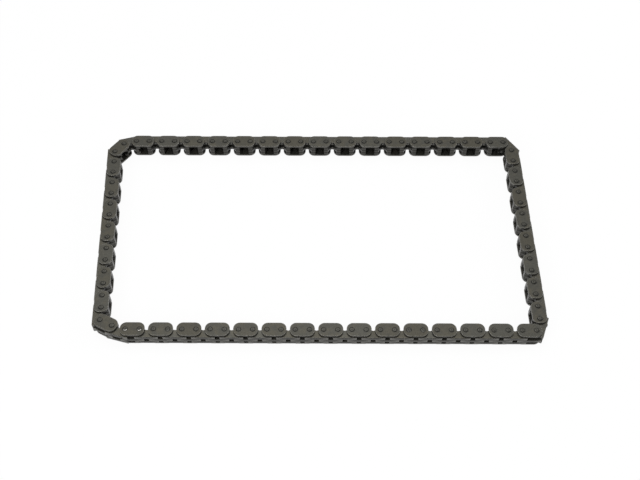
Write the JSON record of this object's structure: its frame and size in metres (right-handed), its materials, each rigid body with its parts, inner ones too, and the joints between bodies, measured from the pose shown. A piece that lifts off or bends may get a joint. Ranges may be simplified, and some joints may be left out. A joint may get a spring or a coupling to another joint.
{
  "type": "oil pump drive chain",
  "caption": "Endless inverted-tooth oil pump drive chain: toothed link plates between rounded guide plates on riveted pins, lying flat as a rectangle with tight corners.",
  "frame": {"origin": "on the resting plane, below the middle of the laid-out loop's bounding box", "axes": "+Z along the pins, +X along the long sides, +Y from the front side to the back side; the teeth point into the loop"},
  "size_m": [0.2099, 0.1144, 0.0081],
  "materials": {
    "chain_steel": "dark oiled, tumbled steel",
    "guide_plate_steel": "dark oiled, tumbled steel",
    "tooth_plate_steel": "dark oiled, tumbled steel",
    "pin_steel": "ground steel with staked ends"
  },
  "bodies": {
    "joining_link": {"joining_link_upper_guide_plate": "guide_plate_steel", "joining_link_lower_guide_plate": "guide_plate_steel", "joining_link_tooth_plate": "tooth_plate_steel", "joining_link_left_pin": "pin_steel", "joining_link_right_pin": "pin_steel"},
    "front_links_01_02": {"front_links_01_02": "chain_steel"},
    "front_link_03": {"front_link_03": "chain_steel"},
    "front_links_04_05": {"front_links_04_05": "chain_steel"},
    "front_links_06_07": {"front_links_06_07": "chain_steel"},
    "front_links_08_09": {"front_links_08_09": "chain_steel"},
    "front_link_10": {"front_link_10": "chain_steel"},
    "front_links_11_12": {"front_links_11_12": "chain_steel"},
    "front_links_13_14": {"front_links_13_14": "chain_steel"},
    "front_links_16_17": {"front_links_16_17": "chain_steel"},
    "front_links_18_19": {"front_links_18_19": "chain_steel"},
    "front_link_20": {"front_link_20": "chain_steel"},
    "front_links_21_22": {"front_links_21_22": "chain_steel"},
    "front_links_23_24": {"front_links_23_24": "chain_steel"},
    "front_links_25_26": {"front_links_25_26": "chain_steel"},
    "front_link_27": {"front_link_27": "chain_steel"},
    "front_links_28_29": {"front_links_28_29": "chain_steel"},
    "front_right_corner_link_30": {"front_right_corner_link_30": "chain_steel"},
    "right_links_31_32": {"right_links_31_32": "chain_steel"},
    "right_link_33": {"right_link_33": "chain_steel"},
    "right_links_34_35": {"right_links_34_35": "chain_steel"},
    "right_links_36_37": {"right_links_36_37": "chain_steel"},
    "right_link_38": {"right_link_38": "chain_steel"},
    "right_links_39_40": {"right_links_39_40": "chain_steel"},
    "right_links_41_42": {"right_links_41_42": "chain_steel"},
    "right_link_43": {"right_link_43": "chain_steel"},
    "right_links_44_45": {"right_links_44_45": "chain_steel"},
    "back_right_corner_link_46": {"back_right_corner_link_46": "chain_steel"},
    "back_links_47_48": {"back_links_47_48": "chain_steel"},
    "back_link_49": {"back_link_49": "chain_steel"},
    "back_links_50_51": {"back_links_50_51": "chain_steel"},
    "back_links_52_53": {"back_links_52_53": "chain_steel"},
    "back_links_54_55": {"back_links_54_55": "chain_steel"},
    "back_link_56": {"back_link_56": "chain_steel"},
    "back_links_57_58": {"back_links_57_58": "chain_steel"},
    "back_links_59_60": {"back_links_59_60": "chain_steel"},
    "back_link_61": {"back_link_61": "chain_steel"},
    "back_links_62_63": {"back_links_62_63": "chain_steel"},
    "back_links_64_65": {"back_links_64_65": "chain_steel"},
    "back_link_66": {"back_link_66": "chain_steel"},
    "back_links_67_68": {"back_links_67_68": "chain_steel"},
    "back_links_69_70": {"back_links_69_70": "chain_steel"},
    "back_links_71_72": {"back_links_71_72": "chain_steel"},
    "back_link_73": {"back_link_73": "chain_steel"},
    "back_links_74_75": {"back_links_74_75": "chain_steel"},
    "back_left_corner_links_76_77": {"back_left_corner_links_76_77": "chain_steel"},
    "left_links_78_79": {"left_links_78_79": "chain_steel"},
    "left_link_80": {"left_link_80": "chain_steel"},
    "left_links_81_82": {"left_links_81_82": "chain_steel"},
    "left_links_83_84": {"left_links_83_84": "chain_steel"},
    "left_link_85": {"left_link_85": "chain_steel"},
    "left_links_86_87": {"left_links_86_87": "chain_steel"},
    "left_links_88_89": {"left_links_88_89": "chain_steel"},
    "left_link_90": {"left_link_90": "chain_steel"},
    "left_links_91_92": {"left_links_91_92": "chain_steel"},
    "front_left_corner_links_93_94": {"front_left_corner_links_93_94": "chain_steel"}
  },
  "joints": [
    {"name": "middle_link_turn_pin_16", "type": "hinge", "parent": "joining_link", "child": "front_links_16_17", "pos_m": [0.00989, -0.05313, 0.00402], "axis": [0, 0, 1], "range_deg": [-25, 25]},
    {"name": "right_half_sway_pin_18", "type": "hinge", "parent": "front_links_16_17", "child": "front_links_18_19", "pos_m": [0.02259, -0.05313, 0.00402], "axis": [0, 0, 1], "range_deg": [-20, 25]},
    {"name": "front_turn_20_pin_20", "type": "hinge", "parent": "front_links_18_19", "child": "front_link_20", "pos_m": [0.03529, -0.05313, 0.00402], "axis": [0, 0, 1], "range_deg": [-25, 25]},
    {"name": "front_turn_20_pin_21", "type": "hinge", "parent": "front_link_20", "child": "front_links_21_22", "pos_m": [0.04164, -0.05313, 0.00402], "axis": [0, 0, 1], "range_deg": [-25, 25]},
    {"name": "front_turn_23_pin_23", "type": "hinge", "parent": "front_links_21_22", "child": "front_links_23_24", "pos_m": [0.05434, -0.05313, 0.00402], "axis": [0, 0, 1], "range_deg": [-25, 25]},
    {"name": "front_turn_23_pin_25", "type": "hinge", "parent": "front_links_23_24", "child": "front_links_25_26", "pos_m": [0.06704, -0.05313, 0.00402], "axis": [0, 0, 1], "range_deg": [-25, 25]},
    {"name": "front_turn_27_pin_27", "type": "hinge", "parent": "front_links_25_26", "child": "front_link_27", "pos_m": [0.07974, -0.05313, 0.00402], "axis": [0, 0, 1], "range_deg": [-25, 25]},
    {"name": "front_turn_27_pin_28", "type": "hinge", "parent": "front_link_27", "child": "front_links_28_29", "pos_m": [0.08609, -0.05313, 0.00402], "axis": [0, 0, 1], "range_deg": [-25, 25]},
    {"name": "right_half_sway_pin_30", "type": "hinge", "parent": "front_links_28_29", "child": "front_right_corner_link_30", "pos_m": [0.09879, -0.05313, 0.00402], "axis": [0, 0, 1], "range_deg": [-25, 20]},
    {"name": "short_side_sway_pin_31", "type": "hinge", "parent": "front_right_corner_link_30", "child": "right_links_31_32", "pos_m": [0.10091, -0.04715, 0.00402], "axis": [0, 0, 1], "range_deg": [-8, 14]},
    {"name": "right_turn_33_pin_33", "type": "hinge", "parent": "right_links_31_32", "child": "right_link_33", "pos_m": [0.10041, -0.03446, 0.00402], "axis": [0, 0, 1], "range_deg": [-18, 18]},
    {"name": "right_turn_33_pin_34", "type": "hinge", "parent": "right_link_33", "child": "right_links_34_35", "pos_m": [0.10016, -0.02811, 0.00402], "axis": [0, 0, 1], "range_deg": [-18, 18]},
    {"name": "right_turn_36_pin_36", "type": "hinge", "parent": "right_links_34_35", "child": "right_links_36_37", "pos_m": [0.09966, -0.01542, 0.00402], "axis": [0, 0, 1], "range_deg": [-18, 18]},
    {"name": "right_turn_36_pin_38", "type": "hinge", "parent": "right_links_36_37", "child": "right_link_38", "pos_m": [0.09916, -0.00273, 0.00402], "axis": [0, 0, 1], "range_deg": [-18, 18]},
    {"name": "right_turn_39_pin_39", "type": "hinge", "parent": "right_link_38", "child": "right_links_39_40", "pos_m": [0.09891, 0.00361, 0.00402], "axis": [0, 0, 1], "range_deg": [-18, 18]},
    {"name": "right_turn_39_pin_41", "type": "hinge", "parent": "right_links_39_40", "child": "right_links_41_42", "pos_m": [0.09841, 0.0163, 0.00402], "axis": [0, 0, 1], "range_deg": [-18, 18]},
    {"name": "right_turn_43_pin_43", "type": "hinge", "parent": "right_links_41_42", "child": "right_link_43", "pos_m": [0.09791, 0.02899, 0.00402], "axis": [0, 0, 1], "range_deg": [-18, 18]},
    {"name": "right_turn_43_pin_44", "type": "hinge", "parent": "right_link_43", "child": "right_links_44_45", "pos_m": [0.09766, 0.03534, 0.00402], "axis": [0, 0, 1], "range_deg": [-18, 18]},
    {"name": "short_side_sway_pin_46", "type": "hinge", "parent": "right_links_44_45", "child": "back_right_corner_link_46", "pos_m": [0.09717, 0.04803, 0.00402], "axis": [0, 0, 1], "range_deg": [-14, 8]},
    {"name": "right_half_sway_pin_47", "type": "hinge", "parent": "back_right_corner_link_46", "child": "back_links_47_48", "pos_m": [0.09339, 0.05313, 0.00402], "axis": [0, 0, 1], "range_deg": [-20, 25]},
    {"name": "front_turn_27_pin_49", "type": "hinge", "parent": "back_links_47_48", "child": "back_link_49", "pos_m": [0.08069, 0.05313, 0.00402], "axis": [0, 0, 1], "range_deg": [-25, 25]},
    {"name": "front_turn_27_pin_50", "type": "hinge", "parent": "back_link_49", "child": "back_links_50_51", "pos_m": [0.07434, 0.05313, 0.00402], "axis": [0, 0, 1], "range_deg": [-25, 25]},
    {"name": "front_turn_23_pin_52", "type": "hinge", "parent": "back_links_50_51", "child": "back_links_52_53", "pos_m": [0.06164, 0.05313, 0.00402], "axis": [0, 0, 1], "range_deg": [-25, 25]},
    {"name": "front_turn_23_pin_54", "type": "hinge", "parent": "back_links_52_53", "child": "back_links_54_55", "pos_m": [0.04894, 0.05313, 0.00402], "axis": [0, 0, 1], "range_deg": [-25, 25]},
    {"name": "front_turn_20_pin_56", "type": "hinge", "parent": "back_links_54_55", "child": "back_link_56", "pos_m": [0.03624, 0.05313, 0.00402], "axis": [0, 0, 1], "range_deg": [-25, 25]},
    {"name": "front_turn_20_pin_57", "type": "hinge", "parent": "back_link_56", "child": "back_links_57_58", "pos_m": [0.02989, 0.05313, 0.00402], "axis": [0, 0, 1], "range_deg": [-25, 25]},
    {"name": "right_half_sway_pin_59", "type": "hinge", "parent": "back_links_57_58", "child": "back_links_59_60", "pos_m": [0.01719, 0.05313, 0.00402], "axis": [0, 0, 1], "range_deg": [-25, 20]},
    {"name": "middle_link_turn_pin_61", "type": "hinge", "parent": "back_links_59_60", "child": "back_link_61", "pos_m": [0.00449, 0.05313, 0.00402], "axis": [0, 0, 1], "range_deg": [-25, 25]},
    {"name": "middle_link_turn_pin_15", "type": "hinge", "parent": "joining_link", "child": "front_links_13_14", "pos_m": [0.00354, -0.05313, 0.00402], "axis": [0, 0, 1], "range_deg": [-25, 25]},
    {"name": "left_half_sway_pin_13", "type": "hinge", "parent": "front_links_13_14", "child": "front_links_11_12", "pos_m": [-0.00916, -0.05313, 0.00402], "axis": [0, 0, 1], "range_deg": [-25, 25]},
    {"name": "front_turn_10_pin_11", "type": "hinge", "parent": "front_links_11_12", "child": "front_link_10", "pos_m": [-0.02186, -0.05313, 0.00402], "axis": [0, 0, 1], "range_deg": [-25, 25]},
    {"name": "front_turn_10_pin_10", "type": "hinge", "parent": "front_link_10", "child": "front_links_08_09", "pos_m": [-0.02821, -0.05313, 0.00402], "axis": [0, 0, 1], "range_deg": [-25, 25]},
    {"name": "front_turn_06_pin_08", "type": "hinge", "parent": "front_links_08_09", "child": "front_links_06_07", "pos_m": [-0.04091, -0.05313, 0.00402], "axis": [0, 0, 1], "range_deg": [-25, 25]},
    {"name": "front_turn_06_pin_06", "type": "hinge", "parent": "front_links_06_07", "child": "front_links_04_05", "pos_m": [-0.05361, -0.05313, 0.00402], "axis": [0, 0, 1], "range_deg": [-25, 25]},
    {"name": "front_turn_03_pin_04", "type": "hinge", "parent": "front_links_04_05", "child": "front_link_03", "pos_m": [-0.06631, -0.05313, 0.00402], "axis": [0, 0, 1], "range_deg": [-25, 25]},
    {"name": "front_turn_03_pin_03", "type": "hinge", "parent": "front_link_03", "child": "front_links_01_02", "pos_m": [-0.07266, -0.05313, 0.00402], "axis": [0, 0, 1], "range_deg": [-25, 25]},
    {"name": "left_half_sway_pin_01", "type": "hinge", "parent": "front_links_01_02", "child": "front_left_corner_links_93_94", "pos_m": [-0.08536, -0.05313, 0.00402], "axis": [0, 0, 1], "range_deg": [-25, 25]},
    {"name": "short_side_sway_pin_93", "type": "hinge", "parent": "front_left_corner_links_93_94", "child": "left_links_91_92", "pos_m": [-0.09717, -0.0486, 0.00402], "axis": [0, 0, 1], "range_deg": [-8, 14]},
    {"name": "right_turn_33_pin_91", "type": "hinge", "parent": "left_links_91_92", "child": "left_link_90", "pos_m": [-0.09766, -0.03591, 0.00402], "axis": [0, 0, 1], "range_deg": [-18, 18]},
    {"name": "right_turn_33_pin_90", "type": "hinge", "parent": "left_link_90", "child": "left_links_88_89", "pos_m": [-0.09791, -0.02957, 0.00402], "axis": [0, 0, 1], "range_deg": [-18, 18]},
    {"name": "right_turn_36_pin_88", "type": "hinge", "parent": "left_links_88_89", "child": "left_links_86_87", "pos_m": [-0.09841, -0.01688, 0.00402], "axis": [0, 0, 1], "range_deg": [-18, 18]},
    {"name": "right_turn_36_pin_86", "type": "hinge", "parent": "left_links_86_87", "child": "left_link_85", "pos_m": [-0.09891, -0.00419, 0.00402], "axis": [0, 0, 1], "range_deg": [-18, 18]},
    {"name": "right_turn_39_pin_85", "type": "hinge", "parent": "left_link_85", "child": "left_links_83_84", "pos_m": [-0.09916, 0.00216, 0.00402], "axis": [0, 0, 1], "range_deg": [-18, 18]},
    {"name": "right_turn_39_pin_83", "type": "hinge", "parent": "left_links_83_84", "child": "left_links_81_82", "pos_m": [-0.09966, 0.01485, 0.00402], "axis": [0, 0, 1], "range_deg": [-18, 18]},
    {"name": "right_turn_43_pin_81", "type": "hinge", "parent": "left_links_81_82", "child": "left_link_80", "pos_m": [-0.10016, 0.02754, 0.00402], "axis": [0, 0, 1], "range_deg": [-18, 18]},
    {"name": "right_turn_43_pin_80", "type": "hinge", "parent": "left_link_80", "child": "left_links_78_79", "pos_m": [-0.10041, 0.03388, 0.00402], "axis": [0, 0, 1], "range_deg": [-18, 18]},
    {"name": "short_side_sway_pin_78", "type": "hinge", "parent": "left_links_78_79", "child": "back_left_corner_links_76_77", "pos_m": [-0.10091, 0.04657, 0.00402], "axis": [0, 0, 1], "range_deg": [-14, 8]},
    {"name": "left_half_sway_pin_76", "type": "hinge", "parent": "back_left_corner_links_76_77", "child": "back_links_74_75", "pos_m": [-0.09076, 0.05313, 0.00402], "axis": [0, 0, 1], "range_deg": [-25, 25]},
    {"name": "front_turn_03_pin_74", "type": "hinge", "parent": "back_links_74_75", "child": "back_link_73", "pos_m": [-0.07806, 0.05313, 0.00402], "axis": [0, 0, 1], "range_deg": [-25, 25]},
    {"name": "front_turn_03_pin_73", "type": "hinge", "parent": "back_link_73", "child": "back_links_71_72", "pos_m": [-0.07171, 0.05313, 0.00402], "axis": [0, 0, 1], "range_deg": [-25, 25]},
    {"name": "front_turn_06_pin_71", "type": "hinge", "parent": "back_links_71_72", "child": "back_links_69_70", "pos_m": [-0.05901, 0.05313, 0.00402], "axis": [0, 0, 1], "range_deg": [-25, 25]},
    {"name": "front_turn_06_pin_69", "type": "hinge", "parent": "back_links_69_70", "child": "back_links_67_68", "pos_m": [-0.04631, 0.05313, 0.00402], "axis": [0, 0, 1], "range_deg": [-25, 25]},
    {"name": "front_turn_10_pin_67", "type": "hinge", "parent": "back_links_67_68", "child": "back_link_66", "pos_m": [-0.03361, 0.05313, 0.00402], "axis": [0, 0, 1], "range_deg": [-25, 25]},
    {"name": "front_turn_10_pin_66", "type": "hinge", "parent": "back_link_66", "child": "back_links_64_65", "pos_m": [-0.02726, 0.05313, 0.00402], "axis": [0, 0, 1], "range_deg": [-25, 25]},
    {"name": "left_half_sway_pin_64", "type": "hinge", "parent": "back_links_64_65", "child": "back_links_62_63", "pos_m": [-0.01456, 0.05313, 0.00402], "axis": [0, 0, 1], "range_deg": [-25, 25]}
  ],
  "couplings": [
    {"joint": "left_half_sway_pin_01", "follows": "left_half_sway_pin_13", "ratio": -1},
    {"joint": "left_half_sway_pin_76", "follows": "left_half_sway_pin_13", "ratio": 1},
    {"joint": "left_half_sway_pin_64", "follows": "left_half_sway_pin_13", "ratio": -1},
    {"joint": "right_half_sway_pin_30", "follows": "right_half_sway_pin_18", "ratio": -1},
    {"joint": "right_half_sway_pin_47", "follows": "right_half_sway_pin_18", "ratio": 1},
    {"joint": "right_half_sway_pin_59", "follows": "right_half_sway_pin_18", "ratio": -1},
    {"joint": "short_side_sway_pin_93", "follows": "short_side_sway_pin_31", "ratio": 1},
    {"joint": "short_side_sway_pin_46", "follows": "short_side_sway_pin_31", "ratio": -1},
    {"joint": "short_side_sway_pin_78", "follows": "short_side_sway_pin_31", "ratio": -1},
    {"joint": "middle_link_turn_pin_15", "follows": "middle_link_turn_pin_16", "ratio": 1},
    {"joint": "middle_link_turn_pin_61", "follows": "middle_link_turn_pin_16", "ratio": -1},
    {"joint": "front_turn_03_pin_03", "follows": "front_turn_03_pin_04", "ratio": -1},
    {"joint": "front_turn_03_pin_74", "follows": "front_turn_03_pin_04", "ratio": 1},
    {"joint": "front_turn_03_pin_73", "follows": "front_turn_03_pin_04", "ratio": -1},
    {"joint": "front_turn_06_pin_06", "follows": "front_turn_06_pin_08", "ratio": -1},
    {"joint": "front_turn_06_pin_71", "follows": "front_turn_06_pin_08", "ratio": 1},
    {"joint": "front_turn_06_pin_69", "follows": "front_turn_06_pin_08", "ratio": -1},
    {"joint": "front_turn_10_pin_10", "follows": "front_turn_10_pin_11", "ratio": -1},
    {"joint": "front_turn_10_pin_67", "follows": "front_turn_10_pin_11", "ratio": 1},
    {"joint": "front_turn_10_pin_66", "follows": "front_turn_10_pin_11", "ratio": -1},
    {"joint": "front_turn_20_pin_21", "follows": "front_turn_20_pin_20", "ratio": -1},
    {"joint": "front_turn_20_pin_56", "follows": "front_turn_20_pin_20", "ratio": 1},
    {"joint": "front_turn_20_pin_57", "follows": "front_turn_20_pin_20", "ratio": -1},
    {"joint": "front_turn_23_pin_25", "follows": "front_turn_23_pin_23", "ratio": -1},
    {"joint": "front_turn_23_pin_52", "follows": "front_turn_23_pin_23", "ratio": 1},
    {"joint": "front_turn_23_pin_54", "follows": "front_turn_23_pin_23", "ratio": -1},
    {"joint": "front_turn_27_pin_28", "follows": "front_turn_27_pin_27", "ratio": -1},
    {"joint": "front_turn_27_pin_49", "follows": "front_turn_27_pin_27", "ratio": 1},
    {"joint": "front_turn_27_pin_50", "follows": "front_turn_27_pin_27", "ratio": -1},
    {"joint": "right_turn_33_pin_91", "follows": "right_turn_33_pin_33", "ratio": 1},
    {"joint": "right_turn_33_pin_34", "follows": "right_turn_33_pin_33", "ratio": -1},
    {"joint": "right_turn_33_pin_90", "follows": "right_turn_33_pin_33", "ratio": -1},
    {"joint": "right_turn_36_pin_88", "follows": "right_turn_36_pin_36", "ratio": 1},
    {"joint": "right_turn_36_pin_38", "follows": "right_turn_36_pin_36", "ratio": -1},
    {"joint": "right_turn_36_pin_86", "follows": "right_turn_36_pin_36", "ratio": -1},
    {"joint": "right_turn_39_pin_85", "follows": "right_turn_39_pin_39", "ratio": 1},
    {"joint": "right_turn_39_pin_41", "follows": "right_turn_39_pin_39", "ratio": -1},
    {"joint": "right_turn_39_pin_83", "follows": "right_turn_39_pin_39", "ratio": -1},
    {"joint": "right_turn_43_pin_81", "follows": "right_turn_43_pin_43", "ratio": 1},
    {"joint": "right_turn_43_pin_44", "follows": "right_turn_43_pin_43", "ratio": -1},
    {"joint": "right_turn_43_pin_80", "follows": "right_turn_43_pin_43", "ratio": -1}
  ]
}
